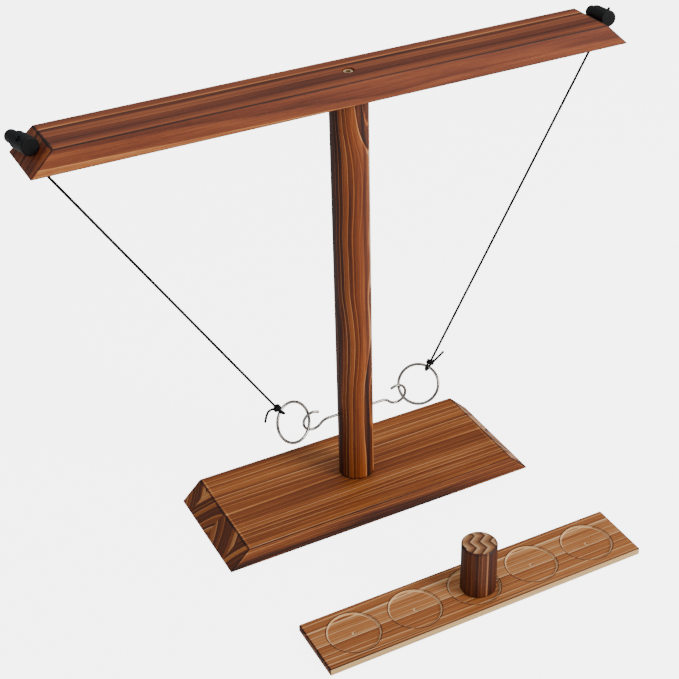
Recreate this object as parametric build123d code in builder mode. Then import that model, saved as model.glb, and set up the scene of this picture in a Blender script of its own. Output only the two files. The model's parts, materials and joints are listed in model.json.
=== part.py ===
"""Tabletop ring toss: a timber gallows stand with a ring on a cord at each end, and a score ladder with a peg.

Millimetres, +Z up, +X along the crossbar. The origin is on the table, under the middle of the post.
"""
import os
from math import cos, radians, sin, tan

from build123d import *

# ---- Stand ----
edge_ease = 0.5              # sanded edges of the base and the crossbar
base_length = 305.0          # at the table
base_width = 110.5
base_height = 18.7
base_end_run = 19.0          # how far each sloped end runs in at the top
post_diameter = 32.0
post_length = 372.3
crossbar_length = 514.0      # along the underside
crossbar_width = 53.8
crossbar_thickness = 18.4
crossbar_end_run = 19.9
crossbar_side_run = 2.9
crossbar_shift = -8.4        # the crossbar's middle lies a little to the left of the post

# ---- Screws and threaded inserts that hold the post ----
screw_head_diameter = 8.5
screw_head_height = 5.0
screw_shank_diameter = 5.0
screw_socket_width = 4.0     # across the flats of the hexagon
screw_socket_depth = 2.6
screw_head_ease = 0.4
screw_sink = 1.0             # how far the head lies below the timber's face
screw_grip = 10.0            # how far the shank reaches into the insert
screw_clearance = 0.3        # radial, round the shank in the crossbar
counterbore_clearance = 1.05 # radial, round the head
insert_diameter = 8.0
insert_length = 13.0
stud_grip = 12.0             # how far the post's stud reaches into the base's insert
stud_in_post = 25.0
fit_clearance = 0.05         # radial, between pieces that are fixed in each other

# ---- Wire hooks ----
hook_wire = 2.5
hook_height = 86.2           # above the table
hook_screwed_in = 14.0
hook_shank = 11.0            # straight wire outside the post
hook_dip_run = 15.4
hook_dip = 6.9
hook_curl_radius = 9.1       # to the middle of the wire
hook_curl_angle = 200.0
hook_tip = 3.0

# ---- Rings ----
ring_diameter = 38.7         # outside
ring_wire = 2.6
ring_seat_out = 3.6          # from the middle of the curl outwards to the wire that it catches
ring_seat_up = 1.5
ring_turn = {"left": 19.6, "right": -33.6}
ring_lean = {"left": 22.9, "right": 39.2}
ring_rise = {"left": 14.0, "right": 2.6}

# ---- Cords ----
cord_diameter = 2.4
cord_hole_clearance = 1.3    # radial, round the cord in the crossbar
cord_hole_inset = 12.0       # from the crossbar's lower end
cord_stub = 1.0              # cord that stands out of the lock
swing_clearance = 0.1
loop_clearance = 0.3         # between the loop and the ring's wire
knot_size = 2.5              # the knot's width in cord diameters
knot_clearance = 0.3         # between the knot and what turns about it
# free end of each knot, from the knot's middle, in cord diameters: outwards, back, up
tail_route = {"left": [(0, -0.2, 0), (3.6, -0.4, 0.25), (5.25, -0.85, -3.65)],
              "right": [(0.25, -0.85, 0.2), (2.6, -1.3, 2.15), (4.6, -1.5, 3.85)]}
bend_share = 0.45            # part of the shorter run that a bend takes up

# ---- Cord locks ----
lock_diameter = 14.0
lock_length = 23.0
lock_wall = 1.67
lock_front_wall = 1.2
lock_hole_clearance = 1.0    # radial, round the cord in the barrel
lock_tilt = {"left": -10.8, "right": -9.1}
lock_seat_gap = 0.05
plunger_clearance = 0.08     # radial, in the barrel
plunger_proud = {"left": 13.5, "right": 8.0}
plunger_travel = 3.0
plunger_web = 1.6            # from the plunger's inner end to its slot
plunger_round = 1.2
slot_side_clearance = 0.7    # between the cord and the slot's sides
slot_end_clearance = 0.3
spring_wire = 0.5
spring_diameter = 7.0
spring_length = 5.4
spring_turns = 3.5
spring_gap = 0.02

# ---- Score ladder and peg ----
ladder_length = 300.6
ladder_width = 57.7
ladder_thickness = 6.6
ladder_ease = 1.0
ladder_place = (19.4, -175.0)
seat_count = 5
seat_pitch = 57.2
seat_diameter = 44.7
seat_depth = 1.5
drill_mark_diameter = 3.0
drill_mark_depth = 1.2
peg_diameter = 30.4
peg_height = 47.6
peg_ease = 1.0
peg_off_centre = (3.3, -0.8)
rest_gap = 0.05

# ---- Places that follow from the sizes ----
sides = {"left": -1, "right": 1}
post_radius = post_diameter / 2
post_top = base_height + post_length
crossbar_top = post_top + crossbar_thickness
cord_radius = cord_diameter / 2
knot_radius = knot_size * cord_diameter / 2
ring_radius = (ring_diameter - ring_wire) / 2
loop_radius = ring_wire / 2 + loop_clearance + cord_radius
curl_out = post_radius + hook_shank + hook_dip_run
curl_height = hook_height - hook_dip + hook_curl_radius
lock_radius = lock_diameter / 2
lock_bore_radius = lock_radius - lock_wall
plunger_inner = lock_front_wall + spring_length
lock_hole_at = plunger_inner + plunger_web + slot_end_clearance + cord_radius
seat_floor = ladder_thickness - seat_depth


def cord_exit(side):
    """The middle of the cord's hole in the crossbar's underside."""
    out = crossbar_length / 2 - cord_hole_inset
    return Vector(crossbar_shift + sides[side] * out, 0, post_top)


def slope_normal(side):
    """Straight out of the crossbar's sloped end."""
    return Vector(sides[side] * crossbar_thickness, 0, crossbar_end_run).normalized()


def slope_up(side):
    """Up the crossbar's sloped end."""
    return Vector(-sides[side] * crossbar_end_run, 0, crossbar_thickness).normalized()


def slope_mouth(side):
    """Where the cord's hole comes out of the sloped end."""
    rise = cord_hole_inset * crossbar_thickness / crossbar_end_run
    return cord_exit(side) + Vector(0, 0, rise)


def ring_normal(side):
    """The ring's axis, towards the player."""
    turn, lean = radians(ring_turn[side]), radians(ring_lean[side])
    return Vector(sin(turn) * cos(lean), -cos(turn) * cos(lean), sin(lean))


def in_plane(direction, normal):
    """A direction laid flat onto the plane that a normal stands on."""
    return (direction - normal * direction.dot(normal)).normalized()


def ring_centre(side):
    """The ring hangs on the curl, so its wire passes the hook's seat."""
    out, up = curl_out + ring_seat_out, curl_height + ring_seat_up
    seat = Vector(sides[side] * out, 0, up)
    rise = radians(ring_rise[side])
    away = Vector(sides[side] * cos(rise), 0, sin(rise))
    return seat + in_plane(away, ring_normal(side)) * ring_radius


def ring_to_knot(side):
    """From the ring's middle to the place where the cord pulls at it."""
    return in_plane(cord_exit(side) - ring_centre(side), ring_normal(side))


def loop_centre(side):
    """Where the cord's loop goes round the ring's wire."""
    return ring_centre(side) + ring_to_knot(side) * ring_radius


def knot_centre(side):
    """The knot sits just outside the ring's wire."""
    reach = ring_wire / 2 + knot_clearance + knot_radius
    return loop_centre(side) + ring_to_knot(side) * reach


def lock_axis(side):
    """From the lock's closed front end to its plunger."""
    return (Vector(0, 1, 0) + slope_up(side) * tan(radians(lock_tilt[side]))).normalized()


def lock_plane(side, along):
    """A plane across the lock, this far from its front end, with its x axis out of the slope."""
    seat = slope_mouth(side) + slope_normal(side) * (lock_radius + lock_seat_gap)
    place = seat + lock_axis(side) * (along - lock_hole_at)
    return Plane(origin=place, x_dir=slope_normal(side), z_dir=lock_axis(side))


def bent_path(points):
    """The tangent arcs that ease a cord round each point of its route: the list of their radii."""
    radii = []
    for before, at, after in zip(points, points[1:], points[2:]):
        shorter = min((at - before).length, (after - at).length)
        half_turn = radians((at - before).get_angle(after - at)) / 2
        radii.append(bend_share * shorter / tan(half_turn))
    print("bend radii", [round(radius, 1) for radius in radii])
    return radii


def save(piece, node):
    """Label a finished piece and write it as its own file."""
    piece.part.label = node
    export_step(piece.part, f"parts/{node}.step")


os.makedirs("parts", exist_ok=True)

# The base is a block with two sloped ends, and a blind hole in its top for the insert.
with BuildPart() as base_block:
    with BuildSketch(Plane.XY):
        Rectangle(base_length, base_width)
    with BuildSketch(Plane.XY.offset(base_height)):
        Rectangle(base_length - 2 * base_end_run, base_width)
    loft()
    fillet(base_block.edges(), edge_ease)
    with BuildSketch(Plane.XY.offset(base_height - insert_length)):
        Circle(insert_diameter / 2)
    extrude(amount=insert_length, mode=Mode.SUBTRACT)
save(base_block, "base_block")

# The post is a turned dowel, bored below for its stud, above for its insert and at both sides for the hooks.
with BuildPart() as post:
    with BuildSketch(Plane.XY.offset(base_height)):
        Circle(post_radius)
    extrude(amount=post_length)
    with BuildSketch(Plane.XY.offset(base_height)):
        Circle(screw_shank_diameter / 2 + fit_clearance)
    extrude(amount=stud_in_post, mode=Mode.SUBTRACT)
    with BuildSketch(Plane.XY.offset(post_top - insert_length)):
        Circle(insert_diameter / 2)
    extrude(amount=insert_length, mode=Mode.SUBTRACT)
    for way in sides.values():
        with BuildSketch(Plane(origin=(way * post_radius, 0, hook_height), z_dir=(-way, 0, 0))):
            Circle(hook_wire / 2)
        extrude(amount=hook_screwed_in, mode=Mode.SUBTRACT)
        with BuildSketch(Plane(origin=(way * post_radius, 0, hook_height), z_dir=(way, 0, 0))):
            Circle(hook_wire / 2)
        extrude(amount=post_radius, mode=Mode.SUBTRACT)
save(post, "post")

# The crossbar has sloped ends and slightly sloped sides. A cord hole goes up through each end.
with BuildPart() as crossbar:
    with BuildSketch(Plane.XY.offset(post_top)):
        with Locations((crossbar_shift, 0)):
            Rectangle(crossbar_length, crossbar_width)
    with BuildSketch(Plane.XY.offset(crossbar_top)):
        with Locations((crossbar_shift, 0)):
            Rectangle(crossbar_length - 2 * crossbar_end_run, crossbar_width - 2 * crossbar_side_run)
    loft()
    fillet(crossbar.edges(), edge_ease)
    with Locations((0, 0, crossbar_top)):
        CounterBoreHole(screw_shank_diameter / 2 + screw_clearance,
                        screw_head_diameter / 2 + counterbore_clearance, screw_head_height + screw_sink)
    for side in sides:
        with BuildSketch(Plane(cord_exit(side))):
            Circle(cord_radius + cord_hole_clearance)
        extrude(amount=crossbar_thickness, mode=Mode.SUBTRACT)
save(crossbar, "crossbar")

# A cap screw with a hexagon socket holds the crossbar down on the post.
screw_seat = Plane(origin=(0, 0, crossbar_top - screw_sink - screw_head_height))
screw_length = crossbar_thickness - screw_sink - screw_head_height + screw_grip
with BuildPart() as screw:
    with BuildSketch(screw_seat):
        Circle(screw_head_diameter / 2)
    extrude(amount=screw_head_height)
    chamfer(screw.edges().group_by(Axis.Z)[-1], screw_head_ease)
    with BuildSketch(screw_seat):
        Circle(screw_shank_diameter / 2)
    extrude(amount=-screw_length)
    with BuildSketch(screw_seat.offset(screw_head_height - screw_socket_depth)):
        RegularPolygon(screw_socket_width / 2, 6, major_radius=False)
    extrude(amount=screw_socket_depth, mode=Mode.SUBTRACT)
save(screw, "crossbar_screw")

# A stud joins the post to the base.
with BuildPart() as stud:
    with BuildSketch(Plane.XY.offset(base_height - stud_grip)):
        Circle(screw_shank_diameter / 2)
    extrude(amount=stud_grip + stud_in_post)
save(stud, "post_stud")

# Threaded inserts: one in the post's top for the screw, one in the base for the stud.
insert_foot = {"post_insert": post_top - insert_length, "base_insert": base_height - insert_length}
for name, height in insert_foot.items():
    with BuildPart() as insert:
        with BuildSketch(Plane.XY.offset(height)):
            Circle(insert_diameter / 2 - fit_clearance)
            Circle(screw_shank_diameter / 2 + fit_clearance, mode=Mode.SUBTRACT)
        extrude(amount=insert_length)
    save(insert, name)

# Each hook is bent from one wire: a screwed-in shank, a dip, and a curl whose tip points back up.
for side, way in sides.items():
    shank_end = Vector(way * (post_radius - hook_screwed_in), 0, hook_height)
    with BuildPart() as hook:
        with BuildLine(Plane.XZ):
            shank = Line((shank_end.X, hook_height), (way * (post_radius + hook_shank), hook_height))
            middle = (way * (curl_out - hook_dip_run / 2), hook_height - hook_dip / 2)
            drop = TangentArc(shank @ 1, Plane.XZ.from_local_coords(middle), tangent=shank % 1)
            foot = (way * curl_out, hook_height - hook_dip)
            level = TangentArc(drop @ 1, Plane.XZ.from_local_coords(foot), tangent=drop % 1)
            curl = CenterArc((way * curl_out, curl_height), hook_curl_radius, -90, way * hook_curl_angle)
            Line(curl @ 1, (curl @ 1) + (curl % 1) * hook_tip)
        with BuildSketch(Plane(origin=shank_end, z_dir=(way, 0, 0))):
            Circle(hook_wire / 2)
        sweep()
    save(hook, f"hook_{side}")

for side in sides:
    # The ring is closed round wire.
    with BuildPart(Plane(origin=ring_centre(side), z_dir=ring_normal(side))) as ring:
        Torus(ring_radius, ring_wire / 2)
    save(ring, f"ring_{side}")

    # The cord's loop goes round the ring's wire and opens towards the knot, which it turns about.
    along_wire = ring_to_knot(side).cross(ring_normal(side))
    with BuildPart() as loop:
        with BuildSketch(Plane(origin=loop_centre(side), x_dir=ring_to_knot(side), z_dir=ring_normal(side))):
            with Locations((-loop_radius, 0)):
                Circle(cord_radius)
        revolve(axis=Axis(loop_centre(side), along_wire), revolution_arc=360)
        with Locations(Location(knot_centre(side))):
            Sphere(knot_radius + knot_clearance, mode=Mode.SUBTRACT)
    save(loop, f"ring_loop_{side}")

    # The hanging cord is one straight run from the crossbar to its knot. Its top is round, where it bends.
    with BuildPart() as cord:
        with BuildLine():
            Line(cord_exit(side), knot_centre(side))
        with BuildSketch(Plane(origin=cord_exit(side), z_dir=knot_centre(side) - cord_exit(side))):
            Circle(cord_radius)
        sweep()
        with Locations(Location(cord_exit(side))):
            Sphere(cord_radius)
        with Locations(Location(knot_centre(side))):
            Sphere(knot_radius, mode=Mode.SUBTRACT)
    save(cord, f"cord_{side}")

    # The knot has a short free tail.
    tail = [knot_centre(side) + Vector(sides[side] * out, back, up) * cord_diameter
            for out, back, up in tail_route[side]]
    with BuildPart() as knot:
        with Locations(Location(knot_centre(side))):
            Sphere(knot_radius)
        with BuildLine():
            FilletPolyline(*tail, radius=bent_path(tail))
        with BuildSketch(Plane(origin=tail[0], z_dir=tail[1] - tail[0])):
            Circle(cord_radius)
        sweep()
    save(knot, f"ring_knot_{side}")

    # Above the swinging stretch, the cord goes up the crossbar's hole and out through the lock.
    hidden_end = cord_exit(side) + Vector(0, 0, cord_radius + swing_clearance)
    lock_end = slope_mouth(side) + slope_normal(side) * (lock_diameter + lock_seat_gap + cord_stub)
    upper_route = [hidden_end, slope_mouth(side), lock_end]
    with BuildPart() as upper_cord:
        with BuildLine():
            FilletPolyline(*upper_route, radius=bent_path(upper_route))
        with BuildSketch(Plane(hidden_end)):
            Circle(cord_radius)
        sweep()
    save(upper_cord, f"cord_top_{side}")

    # The lock's barrel is closed at its front and open at its back, with the cord's hole across it.
    with BuildPart() as barrel:
        with BuildSketch(lock_plane(side, 0)):
            Circle(lock_radius)
        extrude(amount=lock_length)
        fillet(barrel.edges(), plunger_round)
        with BuildSketch(lock_plane(side, lock_front_wall)):
            Circle(lock_bore_radius)
        extrude(amount=lock_length, mode=Mode.SUBTRACT)
        with Locations(Location(Plane(origin=lock_plane(side, lock_hole_at).origin, z_dir=slope_normal(side)))):
            Cylinder(cord_radius + lock_hole_clearance, 2 * lock_diameter, mode=Mode.SUBTRACT)
    save(barrel, f"lock_barrel_{side}")

    # The plunger is a round stem with a slot that lets it slide past the cord.
    slot_middle = lock_hole_at + plunger_travel / 2
    slot_length = cord_diameter + 2 * slot_end_clearance + plunger_travel
    slot_width = cord_diameter + 2 * slot_side_clearance
    with BuildPart() as plunger:
        with BuildSketch(lock_plane(side, plunger_inner)):
            Circle(lock_bore_radius - plunger_clearance)
        extrude(amount=lock_length + plunger_proud[side] - plunger_inner)
        ends = plunger.edges().filter_by(GeomType.CIRCLE).sort_by(Axis(knot_centre(side), lock_axis(side)))
        fillet(ends[-1], plunger_round)
        with BuildSketch(Plane(origin=lock_plane(side, slot_middle).origin,
                               x_dir=lock_axis(side), z_dir=slope_normal(side))):
            SlotOverall(slot_length, slot_width)
        extrude(amount=lock_diameter, both=True, mode=Mode.SUBTRACT)
    save(plunger, f"lock_plunger_{side}")

    # The spring pushes the plunger out.
    coil_height = spring_length - spring_wire - 2 * spring_gap
    first = lock_plane(side, lock_front_wall + spring_gap + spring_wire / 2)
    coil_radius = (spring_diameter - spring_wire) / 2
    with BuildPart() as spring:
        with BuildLine():
            coil = Helix(coil_height / spring_turns, coil_height, coil_radius, center=first.origin,
                         direction=first.z_dir)
        with BuildSketch(Plane(origin=coil @ 0, z_dir=coil % 0)):
            Circle(spring_wire / 2)
        sweep(is_frenet=True)
    save(spring, f"lock_spring_{side}")

# The score ladder is a thin board with a row of round seats, each with the drill's mark in its middle.
with BuildPart() as ladder_board:
    with BuildSketch(Plane.XY):
        with Locations(ladder_place):
            Rectangle(ladder_length, ladder_width)
    extrude(amount=ladder_thickness)
    fillet(ladder_board.edges(), ladder_ease)
    with BuildSketch(Plane.XY.offset(seat_floor)):
        with Locations(ladder_place):
            with GridLocations(seat_pitch, 0, seat_count, 1):
                Circle(seat_diameter / 2)
    extrude(amount=seat_depth, mode=Mode.SUBTRACT)
    with BuildSketch(Plane.XY.offset(seat_floor - drill_mark_depth)):
        with Locations(ladder_place):
            with GridLocations(seat_pitch, 0, seat_count, 1):
                Circle(drill_mark_diameter / 2)
    extrude(amount=drill_mark_depth, mode=Mode.SUBTRACT)
save(ladder_board, "ladder_board")

# The peg is a short length of dowel that stands in a seat.
peg_place = Vector(*ladder_place) + Vector(*peg_off_centre)
with BuildPart() as marker_peg:
    with BuildSketch(Plane.XY.offset(seat_floor + rest_gap)):
        with Locations((peg_place.X, peg_place.Y)):
            Circle(peg_diameter / 2)
    extrude(amount=peg_height)
    chamfer(marker_peg.edges().filter_by(GeomType.CIRCLE), peg_ease)
save(marker_peg, "marker_peg")
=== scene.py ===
"""Tabletop ring toss: the looks of its timber stand, rings on cords, cord locks and score ladder.

Metres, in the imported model's own frame: +Z up, +X along the crossbar, the origin on the table under
the post. Grain and other patterns are worked out in millimetres.
"""
import json
from math import cos, hypot, pi, radians, sin

import bpy
from mathutils import Matrix, Vector


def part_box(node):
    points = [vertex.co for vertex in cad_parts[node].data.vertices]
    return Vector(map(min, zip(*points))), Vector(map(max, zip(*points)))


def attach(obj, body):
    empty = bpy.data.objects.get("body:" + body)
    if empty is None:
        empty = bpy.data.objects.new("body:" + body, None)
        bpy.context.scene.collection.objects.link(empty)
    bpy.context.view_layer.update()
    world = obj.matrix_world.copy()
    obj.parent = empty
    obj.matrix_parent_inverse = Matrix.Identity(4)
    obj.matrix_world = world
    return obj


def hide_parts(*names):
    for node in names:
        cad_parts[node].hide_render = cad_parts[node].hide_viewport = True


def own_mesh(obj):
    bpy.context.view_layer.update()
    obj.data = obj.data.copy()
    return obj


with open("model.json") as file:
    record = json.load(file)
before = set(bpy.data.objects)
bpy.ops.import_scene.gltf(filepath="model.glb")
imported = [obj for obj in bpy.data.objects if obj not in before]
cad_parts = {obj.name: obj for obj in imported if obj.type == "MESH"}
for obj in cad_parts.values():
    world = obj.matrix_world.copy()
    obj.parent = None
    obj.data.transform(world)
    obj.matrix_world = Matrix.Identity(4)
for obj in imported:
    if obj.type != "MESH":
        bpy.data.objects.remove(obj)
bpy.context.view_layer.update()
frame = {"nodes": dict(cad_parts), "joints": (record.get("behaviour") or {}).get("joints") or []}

mm = 0.001


# ---- Base block ----
# A block of stained softwood, glued up from staves and sawn with a slope at each end. Its sawn edges are
# scorched, with a painted highlight just inside them, and its right end is paler than its left. The growth
# rings run out of its ends and along its top. The post stands on it.

class Wired:
    """One output in a node tree. Sums written on it add the nodes that work them out."""

    def __init__(self, tree, socket=None):
        self.tree = tree
        self.socket = socket

    def node(self, kind, settings=None, sockets=None, output=0):
        """Adds a node: first its settings, then its sockets' values or links. Gives one of its outputs."""
        made = self.tree.nodes.new(kind)
        for name, value in (settings or {}).items():
            if name == "stops":
                fill_ramp(made.color_ramp, value)
            else:
                setattr(made, name, value)
        for name, value in (sockets or {}).items():
            if isinstance(value, Wired):
                self.tree.links.new(value.socket, made.inputs[name])
            else:
                made.inputs[name].default_value = value
        return Wired(self.tree, made.outputs[output])

    def math(self, operation, *others):
        return self.node("ShaderNodeMath", {"operation": operation}, dict(enumerate((self, *others))))

    def __add__(self, other):
        return self.math("ADD", other)

    def __sub__(self, other):
        return self.math("SUBTRACT", other)

    def __mul__(self, other):
        return self.math("MULTIPLY", other)

    def __truediv__(self, other):
        return self.math("DIVIDE", other)

    def __neg__(self):
        return self * -1

    def __rsub__(self, other):
        return -self + other

    __radd__ = __add__
    __rmul__ = __mul__

    def __abs__(self):
        return self.math("ABSOLUTE")

    def least(self, other):
        return self.math("MINIMUM", other)

    def most(self, other):
        return self.math("MAXIMUM", other)

    def whole(self):
        return self.math("FLOOR")

    def rise(self, low, high):
        """0 below low, 1 above high, and smooth between."""
        settings = {"interpolation_type": "SMOOTHSTEP"}
        return self.node("ShaderNodeMapRange", settings, {"Value": self, 1: low, 2: high})

    def chance(self, *others):
        """A random number from 0 to 1 that stays the same for the same values."""
        spot = self.vector(*others)
        return self.node("ShaderNodeTexWhiteNoise", {"noise_dimensions": "3D"}, {"Vector": spot})

    def cloud(self, *others, detail=2.0):
        """Soft noise from -1 to 1 over the coordinates, which are in its own lengths."""
        settings = {"noise_dimensions": "3D"}
        sockets = {"Vector": self.vector(*others), "Scale": 1.0, "Detail": detail}
        return (self.node("ShaderNodeTexNoise", settings, sockets) - 0.5) * 3.2

    def vector(self, *others):
        return self.node("ShaderNodeCombineXYZ", None, dict(enumerate((self, *others))))

    def shares(self, spot):
        """The three coordinates of a vector."""
        return [self.node("ShaderNodeSeparateXYZ", None, {0: spot}, axis) for axis in "XYZ"]

    def colours(self, *stops):
        """A colour for each value: the stops are pairs of a value and a colour code."""
        return self.node("ShaderNodeValToRGB", {"stops": stops}, {"Fac": self})

    def blend(self, first, second):
        """The first colour where this is 0, and the second where it is 1."""
        return self.node("ShaderNodeMix", {"data_type": "RGBA"}, {0: self, 6: first, 7: second}, output=2)


def colour(code):
    """The scene's own red, green and blue for a colour code of six hexadecimal digits."""
    shares = [int(code[i:i + 2], 16) / 255 for i in (0, 2, 4)]
    return [s / 12.92 if s <= 0.04045 else ((s + 0.055) / 1.055) ** 2.4 for s in shares] + [1]


def fill_ramp(ramp, stops):
    while len(ramp.elements) < len(stops):
        ramp.elements.new(1)
    for element, (place, code) in zip(ramp.elements, stops):
        element.position = place
        element.color = colour(code)


class Finish:
    """A material on its way: the point on the piece, in millimetres, and the shader that it feeds."""

    def __init__(self, name, **constants):
        self.material = bpy.data.materials.new(name)
        self.material.use_nodes = True
        self.tree = self.material.node_tree
        self.shader = self.tree.nodes["Principled BSDF"]
        for socket, value in constants.items():
            self.shader.inputs[socket.replace("_", " ")].default_value = value
        start = Wired(self.tree)
        spot = start.node("ShaderNodeTexCoord", output="Object")
        scaled = start.node("ShaderNodeVectorMath", {"operation": "SCALE"}, {0: spot, "Scale": 1 / mm})
        self.x, self.y, self.z = start.shares(scaled)
        self.facing = start.shares(start.node("ShaderNodeTexCoord", output="Normal"))

    def feed(self, socket, value):
        self.tree.links.new(value.socket, self.shader.inputs[socket])

    def relief(self, height, depth_mm):
        """Raises the surface by its height, which goes from 0 to 1, times a depth."""
        bump = height.node("ShaderNodeBump", None, {"Height": height, "Distance": depth_mm * mm}, "Normal")
        self.feed("Normal", bump)


def timber(along, across, up, stave, pith, ring, wave, late, band, seed):
    """Stained softwood whose growth rings turn about a pith off each glued stave, left and right in turn.

    Gives how light each point is, from 0 to 1, how strongly a late-wood line shows there, and how wide its
    year is. Stave, pith, ring and wave are in millimetres: the staves' width, how far off the pith lies, the
    rings' spacing and how far they wander. Late and band say how strongly lines and years show.
    """
    strip = (across / stave + seed).whole()
    flip = 1 - (strip / 2 - (strip / 2).whole()) * 4
    sideways = across - (strip - seed + 0.5) * stave - flip * (strip.chance(seed, 0.5) * 0.5 + 0.6) * pith
    height = up + (strip.chance(seed, 7.5) * 0.5 + 0.4) * pith
    drift = (along / 240).cloud(across / 60, up / 60, detail=1.0) * wave
    radius = (sideways * sideways + height * height).math("SQRT") + drift
    year = radius / ring + (radius / (3 * ring)).cloud(strip * 9, seed) * 0.6
    number = year.whole()
    age = year - number
    wide = number.chance(strip, seed + 3)
    line = age.rise(0.76, 0.86) * (1 - age.rise(0.9, 0.98)) * (number.chance(strip, seed + 11) * 0.75 + 0.25)
    early = 1 - age.rise(0.0, 0.3)
    fibre = (along / 70).cloud(across / 1.3, up / 1.3, detail=3.0)
    pore = (along / 7).cloud(across / 0.4, up / 0.4)
    zone = (along / 190).cloud(across / 13, up / 13)
    grain = zone * 0.1 + fibre * 0.1 + pore * 0.05
    tone = 0.46 + (wide - 0.5) * band + grain - early * 0.12 + line * late
    return tone, line, wide


def edge_distance(*pairs):
    """How far a point on a block's skin lies from an edge, from its depths below three pairs of faces."""
    first, second, third = pairs
    low = first.least(second).least(third)
    high = first.most(second).most(third)
    return first + second + third - low - high


def slope_depth(along, up, half_length, run, rise):
    """How deep a point lies below a block's sloped ends."""
    return ((half_length - abs(along)) * rise - up * run) / hypot(run, rise)


def finish_node(node, finish):
    """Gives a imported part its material."""
    frame["nodes"][node].material_slots[0].material = finish.material


base_length = 305.0
base_end_run = 19.0
base_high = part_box("base_block")[1] / mm

base_wood = Finish("base_wood", IOR=1.42)
x, y, z = base_wood.x, base_wood.y, base_wood.z
tone, line, year = timber(x, y, z, stave=37.0, pith=60.0, ring=3.7, wave=2.6, late=0.4, band=0.2, seed=3)
left_end = (-base_wood.facing[0]).rise(0.5, 0.62)
right_end = base_wood.facing[0].rise(0.5, 0.62)
front = (-base_wood.facing[1]).rise(0.7, 0.9)
ends = slope_depth(x, z, base_length / 2, base_end_run, base_high.z)
edge = edge_distance(ends, z.least(base_high.z - z), base_high.y - abs(y))
scorch = (1 - edge.rise(0.25, 1.0)) * ((x / 14).cloud(y / 14, z / 14) * 0.2 + 0.85)
# Painted highlight along the edges: a lighter band just inside each edge, broken up by noise.
wear_and_painted_highlight = edge.rise(0.9, 1.2) * (1 - edge.rise(1.5, 2.1)) * (x / 30).cloud(y / 30, z / 5).rise(-0.5, 0.6)
shade = front * (1 - (z + (x / 90).cloud(z / 20) * 3).rise(4.0, 13.0)) * (1 - x.rise(40, 140))
dark_end = 0.24 + year.rise(0.35, 0.75) * 0.42 + line * 0.36
pale_end = 0.74 - (1 - year.rise(0.1, 0.35)) * 0.46 - line * 0.3
tone = tone + 0.02 - shade * 0.26 + wear_and_painted_highlight * 0.2
tone = tone + left_end * (dark_end - tone) + right_end * (pale_end - tone) - scorch * 0.42
base_wood.feed("Base Color", tone.colours((0.0, "1a0903"), (0.2, "4a1d08"), (0.42, "8a4518"),
                                          (0.62, "b56a2c"), (0.8, "dba066"), (1.0, "f4cfa0")))
base_wood.feed("Roughness", 0.62 - tone * 0.22)
base_wood.relief(tone * 0.5 + line * 0.5, 0.25)
finish_node("base_block", base_wood)


# ---- Post ----
# A turned dowel of the same stained softwood, held down on the base by a threaded stud. Its grain stands
# upright and wanders. Heartwood and painted shade darken its left side, and on its right a dark streak lies
# by a painted highlight.

post_low, post_high = [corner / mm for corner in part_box("post")]

post_wood = Finish("post_wood", IOR=1.42)
x, y, z = post_wood.x, post_wood.y, post_wood.z
wander = (z / 75).cloud(x / 60, y / 60, detail=1.0) * 2.4
sideways = x * 0.9 - y * 0.44
frontways = -x * 0.44 - y * 0.9
from_heart = sideways + wander + 34
tone, line, _ = timber(z, frontways, from_heart, stave=80.0, pith=22.0, ring=3.0, wave=5.0, late=0.46,
                       band=0.34, seed=1.5)
# Heartwood and painted shade darken the left side; a dark streak is added down the right.
heartwood_and_painted_shade = 1 - (sideways + wander).rise(-13.0, -6.0)
streak = sideways + wander * 0.6
heartwood_and_painted_shade = heartwood_and_painted_shade + streak.rise(9.6, 10.6) * (1 - streak.rise(12.0, 13.2)) * 0.6
# Painted highlight: a pale band down the post's right front.
pale = sideways.rise(10.0, 11.0) * frontways.rise(1.6, 2.4) * (1 - (frontways + wander * 0.4).rise(5.0, 6.2))
ends = (post_high.z - z).least(z - post_low.z)
scorch = 1 - ends.rise(0.2, 2.2)
tone = tone - 0.03 - heartwood_and_painted_shade * 0.34 + pale * 0.44 - scorch * 0.3
post_wood.feed("Base Color", tone.colours((0.0, "1a0803"), (0.2, "4c1c07"), (0.42, "8a4013"),
                                          (0.62, "b66428"), (0.8, "da965a"), (1.0, "f2c698")))
post_wood.feed("Roughness", 0.6 - tone * 0.22)
post_wood.relief(tone * 0.5 + line * 0.5, 0.22)
finish_node("post", post_wood)


# ---- Crossbar ----
# One long stained board, sawn with a slope at each end and a slight slope at each side, scorched along its
# edges and bored for its screw and its two cords. A dark seam and a pale line run along its top, and a strip
# of paler sapwood runs out along its lower front edge.

crossbar_length = 514.0
crossbar_width = 53.8
crossbar_end_run = 19.9
crossbar_side_run = 2.9
seam_at = 11.5                 # behind the middle
seam_light_at = 13.3
crossbar_low, crossbar_high = [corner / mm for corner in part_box("crossbar")]
crossbar_middle = (crossbar_low.x + crossbar_high.x) / 2
crossbar_rise = crossbar_high.z - crossbar_low.z

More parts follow.
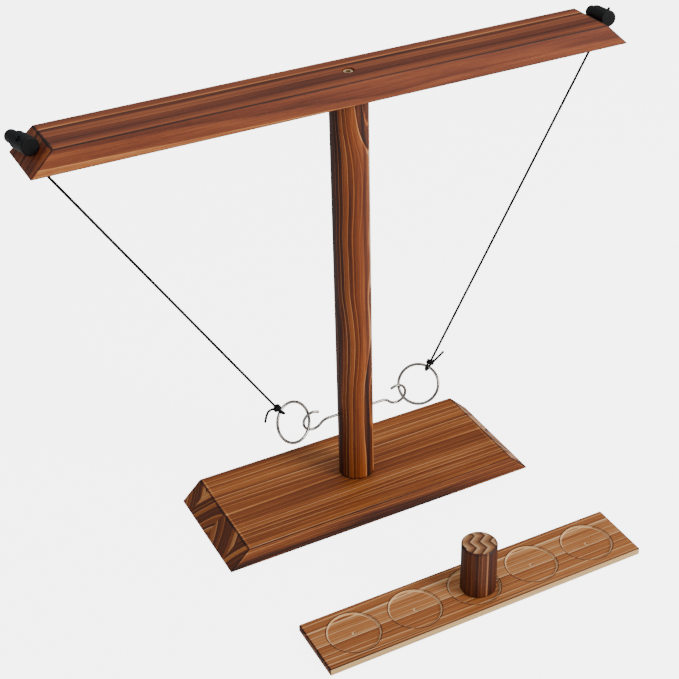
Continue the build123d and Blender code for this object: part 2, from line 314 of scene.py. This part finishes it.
crossbar_wood = Finish("crossbar_wood", IOR=1.42)
x, y, z = crossbar_wood.x - crossbar_middle, crossbar_wood.y, crossbar_wood.z - crossbar_low.z
tone, line, _ = timber(x, y, z, stave=120.0, pith=70.0, ring=3.6, wave=2.4, late=0.12, band=0.3, seed=6.5)
ends = slope_depth(x, z, crossbar_length / 2, crossbar_end_run, crossbar_rise)
sides = slope_depth(y, z, crossbar_width / 2, crossbar_side_run, crossbar_rise)
edge = edge_distance(ends, z.least(crossbar_rise - z), sides)
scorch = (1 - edge.rise(0.35, 1.15)) * ((x / 14).cloud(y / 14, z / 14) * 0.15 + 0.9)
top = crossbar_wood.facing[2].rise(0.8, 0.9)
seam = (1 - abs(y - seam_at).rise(0.3, 0.9)) * top
seam_light = (1 - abs(y - seam_light_at).rise(0.4, 1.1)) * top * (x / 80).cloud(3.0).rise(-1.2, 0.2)
front = 1 - crossbar_wood.facing[1].rise(-0.9, -0.7)
sap_edge = z + (x + crossbar_length / 2) * 0.02 + (x / 60).cloud(z / 30) * 0.5
sapwood = front * (1 - sap_edge.rise(5.6, 6.2)) + front * (1 - abs(sap_edge - 5.7).rise(0.1, 0.6)) * 0.5
redder = front * (1 - sapwood) * (1 - (x / 150).cloud(z / 12).rise(-0.6, 0.6)) * 0.1
tone = tone - 0.04 - scorch * 0.42 - seam * 0.4 + seam_light * 0.22 + sapwood * 0.2 - redder
crossbar_wood.feed("Base Color", tone.colours((0.0, "1a0804"), (0.2, "43190a"), (0.42, "7a371a"),
                                              (0.62, "a4572c"), (0.8, "d68a48"), (1.0, "f0bb80")))
crossbar_wood.feed("Roughness", 0.58 - tone * 0.2)
crossbar_wood.relief(tone * 0.6 + line * 0.4, 0.2)
finish_node("crossbar", crossbar_wood)


# ---- Screw, stud and inserts ----
# A brass cap screw with a hexagon socket, sunk in the crossbar's top, and the stud and threaded inserts that
# hold the post. They are turned, so fine rings run round them. The head is dull at its socket and its rim.

brass = Finish("turned_brass", Metallic=1.0)
x, y, z = brass.x, brass.y, brass.z
out = (x * x + y * y).math("SQRT")
turning = (out * 5.5).cloud(z * 2.2, 0, detail=1.0)
grime = (x / 1.6).cloud(y / 1.6, z / 1.6) * 0.5 + 0.5
dull = (1 - out.rise(1.9, 2.6)).most(out.rise(3.7, 4.2)) * 0.7
brass.feed("Base Color", (dull + grime * 0.2).colours((0.0, "fdeccb"), (0.4, "dcba80"), (1.0, "4a3420")))
brass.feed("Roughness", 0.42 + dull * 0.25 + grime * 0.12)
brass.relief(turning * 0.3 + 0.5, 0.03)
for node in ("crossbar_screw", "post_stud", "post_insert", "base_insert"):
    finish_node(node, brass)


# ---- Hooks and rings ----
# Nickel-plated steel wire. Each hook is one bent wire screwed into the post. Each ring is wire bent round,
# butted and welded, with the weld dressed almost flush. The plating is lightly scuffed.

ring_diameter = 38.7 * mm
ring_wire = 2.6 * mm
weld_angle = radians(205)      # round from the cord's pull
weld_length = 2.2 * mm
weld_swell = 0.07
ring_points = 220
wire_sides = 20
sides_of_stand = {"left": -1, "right": 1}
joints = {joint["name"]: joint for joint in frame["joints"]}

nickel = Finish("nickel_wire", Metallic=1.0, Specular_IOR_Level=0.6)
x, y, z = nickel.x, nickel.y, nickel.z
scuff = (x / 2.5).cloud(y / 2.5, z / 2.5, detail=4.0) * 0.5 + 0.5
speck = (x / 0.45).cloud(y / 0.45, z / 0.45) * 0.5 + 0.5
nickel.feed("Base Color", scuff.colours((0.0, "716b66"), (0.45, "a09a92"), (1.0, "cdc7bf")))
nickel.feed("Roughness", 0.12 + scuff * 0.1 + speck * 0.05)
nickel.relief(scuff * 0.6 + speck * 0.4, 0.02)
for side in sides_of_stand:
    finish_node(f"hook_{side}", nickel)


def new_tree(name, *sizes):
    """A geometry tree that takes a mesh and these sizes. Gives the tree and its inputs by name."""
    tree = bpy.data.node_groups.new(name, "GeometryNodeTree")
    for way in ("INPUT", "OUTPUT"):
        tree.interface.new_socket("Geometry", in_out=way, socket_type="NodeSocketGeometry")
    for size in sizes:
        tree.interface.new_socket(size, in_out="INPUT", socket_type="NodeSocketFloat")
    start = Wired(tree)
    return tree, {label: start.node("NodeGroupInput", output=label) for label in ("Geometry", *sizes)}


def end_tree(geometry, finish):
    """Ends a tree: smooth, real, and in its finish."""
    smooth = geometry.node("GeometryNodeSetShadeSmooth", None, {0: geometry})
    real = geometry.node("GeometryNodeRealizeInstances", None, {0: smooth})
    dressed = geometry.node("GeometryNodeSetMaterial", None, {0: real, "Material": finish.material})
    end = geometry.tree.nodes.new("NodeGroupOutput")
    geometry.tree.links.new(dressed.socket, end.inputs[0])


def grown(name, mesh, tree, sizes):
    """Runs a geometry tree on a mesh. The plain mesh that comes out is a new piece at the origin."""
    seed = bpy.data.objects.new(name + "_seed", mesh)
    bpy.context.scene.collection.objects.link(seed)
    modifier = seed.modifiers.new("tree", "NODES")
    modifier.node_group = tree
    for item in tree.interface.items_tree:
        if item.in_out == "INPUT" and item.name in sizes:
            modifier[item.identifier] = sizes[item.name]
    ready = seed.evaluated_get(bpy.context.evaluated_depsgraph_get())
    piece = bpy.data.objects.new(name, bpy.data.meshes.new_from_object(ready))
    bpy.context.scene.collection.objects.link(piece)
    bpy.data.objects.remove(seed)
    return piece


def tube(path, radius, sides):
    """A closed round tube along a path of curve geometry."""
    profile = path.node("GeometryNodeCurvePrimitiveCircle", None, {"Resolution": sides, "Radius": radius})
    sockets = {"Curve": path, "Profile Curve": profile, "Fill Caps": True}
    return path.node("GeometryNodeCurveToMesh", None, sockets)


def place_in(origin, x_axis, z_axis):
    """The matrix that lays a piece drawn flat about the origin into its place."""
    y_axis = z_axis.cross(x_axis)
    return Matrix.Translation(origin) @ Matrix((x_axis, y_axis, z_axis)).transposed().to_4x4()


def ring_frame(side):
    """The ring's middle, the way from it to the cord's knot, and its axis towards the player."""
    joint = joints[f"ring_turn_{side}"]
    ring_low, ring_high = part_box(f"ring_{side}")
    middle = (ring_low + ring_high) / 2
    axis = Vector(joint["axis"]) * -sides_of_stand[side]
    pull = Vector(joint["pos_m"]) - middle
    return middle, (pull - axis * pull.dot(axis)).normalized(), axis.normalized()


wire_tree, given = new_tree("welded_wire_ring", "Ring Radius", "Wire Radius", "Weld Angle", "Weld Length")
hoop = given["Geometry"].node("GeometryNodeCurvePrimitiveCircle", None,
                              {"Resolution": ring_points, "Radius": given["Ring Radius"]})
turn = hoop.node("GeometryNodeSplineParameter", output="Factor") * (2 * pi)
from_weld = abs(turn - given["Weld Angle"]) * given["Ring Radius"] / given["Weld Length"]
swell = (1 - from_weld.rise(0.25, 1.0)) * weld_swell + 1
hoop = tube(hoop.node("GeometryNodeSetCurveRadius", None, {"Curve": hoop, "Radius": swell}),
            given["Wire Radius"], wire_sides)
end_tree(hoop, nickel)
for side in sides_of_stand:
    middle, pull, axis = ring_frame(side)
    ring = grown(f"wire_ring_{side}", bpy.data.meshes.new("ring_seed"), wire_tree,
                 {"Ring Radius": (ring_diameter - ring_wire) / 2, "Wire Radius": ring_wire / 2,
                  "Weld Angle": weld_angle, "Weld Length": weld_length})
    ring.data.transform(place_in(middle, pull, axis))
    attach(ring, f"ring_{side}")
    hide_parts(f"ring_{side}")


# ---- Cords ----
# Black braided nylon cord, pulled tight from the crossbar's hole to the knot at its ring. Eight yarns are
# braided round a core, four each way, each going over and under the others in turn.

near_knot = 14.4 * mm          # the last straight stretch, next to the knot
yarn_radius = 0.41 * mm
braid_radius = 0.72 * mm       # of the yarns' own middles
braid_weave = 0.08 * mm        # how far a yarn goes out and in as it passes over and under
braid_pitch = 4.6 * mm
yarns_each_way = 4
points_each_turn = 10
yarn_sides = 6
core_radius = 0.9 * mm
core_sides = 8

black_nylon = Finish("black_nylon", IOR=1.4)
x, y, z = black_nylon.x, black_nylon.y, black_nylon.z
lint = (x / 0.22).cloud(y / 0.22, z / 0.22, detail=3.0) * 0.5 + 0.5
rubbed = (x / 9).cloud(y / 9, z / 9) * 0.5 + 0.5
wear_and_painted_highlight = lint * 0.5 + rubbed * 0.5
black_nylon.feed("Base Color", wear_and_painted_highlight.colours((0.0, "020202"), (0.55, "060606"), (1.0, "131314")))
black_nylon.feed("Roughness", 0.68 + lint * 0.2)
black_nylon.relief(lint, 0.05)

cord_tree, given = new_tree("braided_cord", "Braid Radius", "Braid Pitch", "Yarn Radius", "Core Radius",
                            "Melted End")
path = given["Geometry"].node("GeometryNodeMeshToCurve", None, {0: given["Geometry"]})
spacing = given["Braid Pitch"] / points_each_turn
path = path.node("GeometryNodeResampleCurve", {"mode": "LENGTH"}, {"Curve": path, "Length": spacing})
copies = path.node("GeometryNodeDuplicateElements", {"domain": "SPLINE"},
                   {"Geometry": path, "Amount": 2 * yarns_each_way})
number = Wired(cord_tree, copies.socket.node.outputs["Duplicate Index"])
other_way = (number / yarns_each_way).whole()
way = 1 - other_way * 2
phase = path.node("GeometryNodeSplineParameter", output="Length") * (2 * pi) / given["Braid Pitch"]
turn = (phase + number * (2 * pi / yarns_each_way)) * way
reach = given["Braid Radius"] + (phase * yarns_each_way).math("COSINE") * way * braid_weave
normal = path.node("GeometryNodeInputNormal")
tangent = path.node("GeometryNodeInputTangent")
across = path.node("ShaderNodeVectorMath", {"operation": "CROSS_PRODUCT"}, {0: tangent, 1: normal})
parts = [path.node("ShaderNodeVectorMath", {"operation": "SCALE"}, {0: one, "Scale": share * reach})
         for one, share in ((normal, turn.math("COSINE")), (across, turn.math("SINE")))]
offset = path.node("ShaderNodeVectorMath", {"operation": "ADD"}, {0: parts[0], 1: parts[1]})
yarns = path.node("GeometryNodeSetPosition", None, {"Geometry": copies, "Offset": offset})
yarns = tube(yarns, given["Yarn Radius"], yarn_sides)
core = tube(path, given["Core Radius"], core_sides)
last = path.node("GeometryNodeCurveEndpointSelection", None, {"Start Size": 0, "End Size": 1})
bead = path.node("GeometryNodeMeshIcoSphere", None, {"Radius": given["Melted End"], "Subdivisions": 3})
ends = path.node("GeometryNodeInstanceOnPoints", None, {"Points": path, "Selection": last, "Instance": bead})
join = cord_tree.nodes.new("GeometryNodeJoinGeometry")
for part in (yarns, core, ends):
    cord_tree.links.new(part.socket, join.inputs[0])
end_tree(Wired(cord_tree, join.outputs[0]), black_nylon)


def smooth_line(points):
    """The line of a smooth curve with these control points, as a mesh of edges."""
    curve = bpy.data.curves.new("route", "CURVE")
    curve.dimensions = "3D"
    curve.resolution_u = 24
    spline = curve.splines.new("NURBS")
    spline.points.add(len(points) - 1)
    for spot, point in zip(spline.points, points):
        spot.co = (*point, 1)
    spline.order_u = 3
    spline.use_endpoint_u = True
    route = bpy.data.objects.new("route", curve)
    line = bpy.data.meshes.new_from_object(route)
    bpy.data.objects.remove(route)
    return line


def braided(name, points, melted=core_radius):
    """A length of the braided cord along these control points, beaded at its end, and its line's points."""
    line = smooth_line(points)
    piece = grown(name, line, cord_tree, {"Braid Radius": braid_radius, "Braid Pitch": braid_pitch,
                                          "Yarn Radius": yarn_radius, "Core Radius": core_radius,
                                          "Melted End": melted})
    return piece, [vertex.co.copy() for vertex in line.vertices]


def pivot(joint, side):
    """Where a joint on this side turns: the cord's hole for its swing, the knot for its ring's turn."""
    return Vector(joints[f"{joint}_{side}"]["pos_m"])


hanging = {}
for side in sides_of_stand:
    exit_point = pivot("cord_swing", side)
    knot = pivot("ring_turn", side)
    above_knot = knot + (exit_point - knot).normalized() * near_knot
    cord, line = braided(f"hanging_cord_{side}", [exit_point, above_knot, knot])
    hanging[side] = (cord, line)
    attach(cord, f"swinging_cord_{side}")
    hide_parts(f"cord_{side}")


# ---- Knots ----
# The cord goes round the ring's wire once, and its end is wrapped twice round the cord and drawn tight, in a
# short barrel. The free tail sticks out of it, and its cut end is melted to a small bead.

wrap_radius = 2.7 * mm
wrap_turns = 2.0
wrap_pitch = 2.2 * mm
points_each_wrap = 12
melted_bead = 1.25 * mm
bight_wide = 3.5 * mm          # the loop's control points, round the wire's middle
bight_deep = 3.6 * mm
bight_spread = 1.0 * mm        # how far apart its two legs lie along the wire
# the free tail, from the knot's middle: outwards, back, up
tail_route = {"left": [(7.5, -1.0, 0.9), (10.6, -1.4, -1.6), (12.6, -2.0, -8.8)],
              "right": [(2.4, -3.3, 2.6), (6.2, -3.1, 5.2), (11.0, -3.6, 9.2)]}

for side, way in sides_of_stand.items():
    cord, line = hanging[side]
    exit_point = pivot("cord_swing", side)
    knot = pivot("ring_turn", side)
    middle, pull, axis = ring_frame(side)
    wire = middle + pull * (ring_diameter - ring_wire) / 2
    along_wire = pull.cross(axis)
    up = (exit_point - knot).normalized()
    out = (Vector((way, 0, 0)) - up * up.x * way).normalized()
    turned = up.cross(out)
    wraps = []
    steps = int(wrap_turns * points_each_wrap)
    for step in range(steps + 1):
        angle = 2 * pi * (step - steps) / points_each_wrap * way
        height = wrap_pitch * (step / points_each_wrap - wrap_turns / 2)
        wraps.append(knot + (out * cos(angle) + turned * sin(angle)) * wrap_radius + up * height)
    tail = [knot + Vector((way * a, b, c)) * mm for a, b, c in tail_route[side]]
    barrel, _ = braided(f"knot_{side}", [*wraps, *tail], melted_bead)
    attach(barrel, f"swinging_cord_{side}")
    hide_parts(f"ring_knot_{side}")
    bight = [knot - along_wire * bight_spread,
             wire + pull * bight_wide * 0.5 + axis * bight_wide - along_wire * bight_spread,
             wire - pull * bight_deep + axis * bight_wide - along_wire * bight_spread * 0.5,
             wire - pull * bight_deep - axis * bight_wide + along_wire * bight_spread * 0.5,
             wire + pull * bight_wide * 0.5 - axis * bight_wide + along_wire * bight_spread,
             knot + along_wire * bight_spread]
    loop, _ = braided(f"cord_loop_{side}", bight)
    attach(loop, f"ring_{side}")
    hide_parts(f"ring_loop_{side}")


# ---- Cord locks ----
# Moulded black plastic, matt with a fine spark texture. A barrel lies across each end slope of the crossbar,
# and a steel spring in it pushes its plunger out, which grips the cord in the hole across both. The cord
# comes out on top.

lock_plastic = Finish("black_moulding", IOR=1.45, Specular_IOR_Level=0.3)
x, y, z = lock_plastic.x, lock_plastic.y, lock_plastic.z
spark = (x / 0.25).cloud(y / 0.25, z / 0.25, detail=3.0) * 0.5 + 0.5
handled = (x / 5).cloud(y / 5, z / 5) * 0.5 + 0.5
lock_plastic.feed("Base Color", handled.colours((0.0, "030304"), (0.6, "070809"), (1.0, "101214")))
lock_plastic.feed("Roughness", 0.42 + handled * 0.1 + spark * 0.08)
lock_plastic.relief(spark * 0.7 + handled * 0.3, 0.04)
spring_wire = Finish("spring_wire", Metallic=1.0)
oiled = (spring_wire.x / 1.2).cloud(spring_wire.y / 1.2, spring_wire.z / 1.2) * 0.5 + 0.5
spring_wire.feed("Base Color", oiled.colours((0.0, "6f6a64"), (1.0, "bdb8b0")))
spring_wire.feed("Roughness", 0.24 + oiled * 0.15)

lock_length = 23.0 * mm
lock_front_wall = 1.2 * mm
spring_thickness = 0.5 * mm
spring_diameter = 7.0 * mm
spring_length = 5.4 * mm
spring_turns = 3.5
spring_points = 40             # for each turn
spring_sides = 12
cord_top_gap = 1.3 * mm        # above the hanging cord's end
cord_top_rise = 11.1 * mm      # up the crossbar's hole to the sloped end
cord_top_out = 15.05 * mm      # from there through the lock, square to the slope
cord_top_bend = 9.0 * mm       # the bend's control points lie this far from the corner
spring_tree, given = new_tree("wound_spring", "Coil Radius", "Coil Height", "Turns", "Wire Radius")
coil = given["Geometry"].node("GeometryNodeCurveSpiral", None,
                              {"Resolution": spring_points, "Rotations": given["Turns"],
                               "Start Radius": given["Coil Radius"], "End Radius": given["Coil Radius"],
                               "Height": given["Coil Height"]})
end_tree(tube(coil, given["Wire Radius"], spring_sides), spring_wire)
for side, way in sides_of_stand.items():
    finish_node(f"lock_barrel_{side}", lock_plastic)
    finish_node(f"lock_plunger_{side}", lock_plastic)
    lock_low, lock_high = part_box(f"lock_barrel_{side}")
    lock_axis = -Vector(joints[f"plunger_press_{side}"]["axis"]).normalized()
    spring_foot = (lock_low + lock_high) / 2 - lock_axis * (lock_length / 2 - lock_front_wall)
    spring = grown(f"coil_spring_{side}", bpy.data.meshes.new("spring_seed"), spring_tree,
                   {"Coil Radius": (spring_diameter - spring_thickness) / 2, "Turns": spring_turns,
                    "Coil Height": spring_length - spring_thickness, "Wire Radius": spring_thickness / 2})
    sideways = lock_axis.orthogonal().normalized()
    spring.data.transform(place_in(spring_foot + lock_axis * spring_thickness / 2, sideways, lock_axis))
    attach(spring, "stand")
    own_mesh(spring)
    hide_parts(f"lock_spring_{side}")
    exit_point = pivot("cord_swing", side)
    square = Vector((way * crossbar_rise, 0, crossbar_end_run)).normalized()
    mouth = exit_point + Vector((0, 0, cord_top_rise))
    route = [exit_point + Vector((0, 0, cord_top_gap)), mouth - Vector((0, 0, cord_top_bend)), mouth,
             mouth + square * cord_top_bend, mouth + square * cord_top_out]
    top, _ = braided(f"cord_top_in_lock_{side}", route, melted_bead)
    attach(top, "stand")
    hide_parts(f"cord_top_{side}")


# ---- Score ladder ----
# A thin board with five round seats cut in its top, each with the mark of the cutter's point in its middle.
# The top is stained, with a dark line along its front. The long edges are left pale, and the cutter has
# scorched a dark line round each seat.

seat_count = 5
seat_pitch = 57.2
seat_diameter = 44.7
point_mark = 3.0
line_inset = 3.6               # from the front edge
ladder_low, ladder_high = [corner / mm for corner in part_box("ladder_board")]
ladder_middle = (ladder_low + ladder_high) / 2
ladder_half = (ladder_high - ladder_low) / 2

ladder_wood = Finish("ladder_wood", IOR=1.42)
x, y, z = ladder_wood.x - ladder_middle.x, ladder_wood.y - ladder_middle.y, ladder_wood.z
tone, line, _ = timber(x, y, z, stave=29.0, pith=48.0, ring=4.6, wave=2.4, late=0.42, band=0.3, seed=12.5)
slot_number = (x / seat_pitch + 0.5).whole().most(-(seat_count // 2)).least(seat_count // 2)
in_seat_x = x - slot_number * seat_pitch
from_seat = (in_seat_x * in_seat_x + y * y).math("SQRT")
inside = seat_diameter / 2
top_side = ladder_wood.facing[2].rise(0.7, 0.9)
rim = from_seat.rise(inside - 1.25, inside - 0.85) * (1 - from_seat.rise(inside + 0.05, inside + 0.2))
burnt = from_seat.rise(inside + 0.1, inside + 0.3) * (1 - from_seat.rise(inside + 0.6, inside + 1.3))
burnt = burnt * ((x / 12).cloud(y / 12, slot_number * 5) * 0.2 + 0.85)
specks = (x / 1.6).cloud(y / 0.9, slot_number * 3, detail=3.0).rise(0.1, 0.8)
smudge = (1 - from_seat.rise(3.0, 9.0)) * specks
mark = 1 - from_seat.rise(point_mark / 2 - 0.1, point_mark / 2 + 0.35)
edge = edge_distance(ladder_half.x - abs(x), z.least(ladder_high.z - z), ladder_half.y - abs(y))
scorch = 1 - edge.rise(0.8, 1.5)
second_line = 1 - abs(y + ladder_half.y - line_inset).rise(0.3, 0.9)
bare = abs(ladder_wood.facing[1]).rise(0.7, 0.9)
dark_end = abs(ladder_wood.facing[0]).rise(0.6, 0.8)
tone = tone + 0.1 - scorch * (1 - bare) * 0.45 - dark_end * 0.25 - second_line * top_side * 0.32
tone = tone + (rim * 0.45 - burnt * 0.6 - smudge * 0.2 + mark * 0.6) * top_side.most(rim)
stained = tone.colours((0.0, "2a0f05"), (0.2, "5a280f"), (0.42, "9a5526"), (0.62, "bd7840"),
                       (0.8, "dca36a"), (1.0, "f3d3a4"))
pale_tone = tone * 0.5 + 0.5 - (1 - edge.rise(0.1, 0.6)) * 0.5
pale = pale_tone.colours((0.2, "7a4a24"), (0.5, "e4ae6c"), (1.0, "ffd896"))
ladder_wood.feed("Base Color", bare.blend(stained, pale))
ladder_wood.feed("Roughness", 0.6 - tone * 0.18)
ladder_wood.relief(tone * 0.5 + line * 0.5, 0.18)
finish_node("ladder_board", ladder_wood)


# ---- Marker peg ----
# A short piece of dowel, glued up from strips, that stands loose in the middle seat. Its side is stained
# almost black-brown, with a painted highlight and a painted lit band down its front, and its sawn end is
# bare, with the strips' zigzag joints showing.

strip_width = 8.6
zigzag = 2.6
zigzag_length = 15.0
peg_low, peg_high = [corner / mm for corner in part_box("marker_peg")]
peg_middle = (peg_low + peg_high) / 2
peg_radius = (peg_high.x - peg_low.x) / 2

peg_wood = Finish("peg_wood", IOR=1.42)
x, y, z = peg_wood.x - peg_middle.x, peg_wood.y - peg_middle.y, peg_wood.z - peg_low.z
tone, line, _ = timber(z, x, y + 20, stave=60.0, pith=24.0, ring=3.4, wave=1.2, late=0.25, band=0.3,
                       seed=4.5)
out = (x * x + y * y).math("SQRT")
sawn = peg_wood.facing[2].rise(0.75, 0.95)
sideways = x * 0.91 - y * 0.41
frontways = -x * 0.41 - y * 0.91
fold = frontways / zigzag_length + 0.1
kink = abs(fold - fold.whole() - 0.5) * 4 - 1
strip = (sideways + kink * zigzag) / strip_width + 0.75
share = strip - strip.whole()
joint_line = 1 - share.rise(0.05, 0.2)
strip_tone = 0.9 - share * 0.62 + (x / 3).cloud(y / 3, 3) * 0.08 - joint_line * 0.8
rim = out.rise(peg_radius - 2.4, peg_radius - 0.6)
strip_tone = strip_tone - rim * 0.22
# Painted light on the side facing the camera: a pale highlight strip and a lighter warm band beside it.
seen = frontways.rise(0.0, 2.0)
painted_highlight_strip = sideways.rise(4.2, 4.6) * (1 - sideways.rise(5.6, 6.1)) * seen
painted_lit_band = sideways.rise(-0.6, 0.2) * (1 - sideways.rise(3.2, 4.2)) * seen
ends = (peg_high.z - peg_low.z - z).least(z)
tone = tone * 0.8 - 0.06 + painted_highlight_strip * 0.4 + painted_lit_band * 0.14 - (1 - ends.rise(0.6, 2.4)) * 0.14
stained = tone.colours((0.0, "170804"), (0.2, "32130a"), (0.42, "602c15"), (0.62, "8f5029"),
                       (0.8, "c58b5b"), (1.0, "e6c095"))
bare = strip_tone.colours((0.0, "1b0c06"), (0.3, "6e4026"), (0.6, "b27d52"), (1.0, "eecda0"))
peg_wood.feed("Base Color", sawn.blend(stained, bare))
peg_wood.feed("Roughness", 0.6 - tone * 0.18)
peg_wood.relief(tone * 0.5 + sawn * strip_tone * 0.5, 0.2)
finish_node("marker_peg", peg_wood)


# ---- Studio ----
# A plain pale floor under soft lamps: a large one in front on the right, a weak one on the left and one
# above. The camera sees the room paler than the lamps light it.

def lamp(name, place, aim, size, power):
    """A square soft lamp."""
    light = bpy.data.lights.new(name, "AREA")
    light.size = size
    light.energy = power
    holder = bpy.data.objects.new(name, light)
    bpy.context.scene.collection.objects.link(holder)
    holder.location = place
    holder.rotation_mode = "QUATERNION"
    holder.rotation_quaternion = (Vector(aim) - Vector(place)).to_track_quat("-Z", "Y")


def lit_for_camera(tree, shader, seen):
    """Adds light that the camera alone sees, so that the room is pale but doesn't wash out the timber."""
    start = Wired(tree)
    ray = start.node("ShaderNodeLightPath", output="Is Camera Ray")
    glow = start.node("ShaderNodeEmission", None, {"Strength": ray * seen})
    return start.node("ShaderNodeAddShader", None, {0: shader, 1: glow})


floor_size = 8.0
floor_drop = 0.2 * mm          # below the pieces' feet
floor_glow = 5.0
room_glow = 5.4
floor_mesh = bpy.data.meshes.new("floor")
corners = [(a * floor_size, b * floor_size, -floor_drop) for a, b in ((-1, -1), (1, -1), (1, 1), (-1, 1))]
floor_mesh.from_pydata(corners, [], [(0, 1, 2, 3)])
floor = bpy.data.objects.new("floor", floor_mesh)
bpy.context.scene.collection.objects.link(floor)
floor_finish = Finish("pale_floor", Roughness=0.9, Specular_IOR_Level=0.1)
floor_finish.shader.inputs["Base Color"].default_value = (0.85, 0.85, 0.84, 1)
surface = Wired(floor_finish.tree, floor_finish.shader.outputs[0])
seen_floor = lit_for_camera(floor_finish.tree, surface, floor_glow)
floor_finish.tree.links.new(seen_floor.socket, floor_finish.tree.nodes["Material Output"].inputs["Surface"])
floor_mesh.materials.append(floor_finish.material)

room = bpy.data.worlds.new("room")
room.use_nodes = True
bpy.context.scene.world = room
background = room.node_tree.nodes["Background"]
background.inputs["Color"].default_value = (0.93, 0.96, 1.0, 1)
background.inputs["Strength"].default_value = 0.3
seen_room = lit_for_camera(room.node_tree, Wired(room.node_tree, background.outputs[0]), room_glow)
room.node_tree.links.new(seen_room.socket, room.node_tree.nodes["World Output"].inputs["Surface"])

stand_middle = (0, 0, 0.2)
lamp("key", (1.5, -1.9, 1.5), stand_middle, 1.1, 55)
lamp("fill", (-1.8, -1.0, 1.1), stand_middle, 1.6, 7)
lamp("top", (0.1, 0.4, 2.2), stand_middle, 1.6, 13)

camera_place = (-0.47341, -0.92702, 0.83214)
camera_turn = radians(-26.371)
camera_down = radians(32.817)
camera_roll = radians(-1.586)
camera_data = bpy.data.cameras.new("camera")
camera_data.sensor_width = 36
camera_data.lens = 75.46
camera = bpy.data.objects.new("camera", camera_data)
bpy.context.scene.collection.objects.link(camera)
ahead = Vector((-sin(camera_turn) * cos(camera_down), cos(camera_turn) * cos(camera_down),
                -sin(camera_down)))
right = Vector((cos(camera_turn), sin(camera_turn), 0))
above = right.cross(ahead)
level = Matrix((right, above, -ahead)).transposed().to_4x4()
camera.matrix_world = Matrix.Translation(camera_place) @ level @ Matrix.Rotation(camera_roll, 4, "Z")
bpy.context.scene.camera = camera
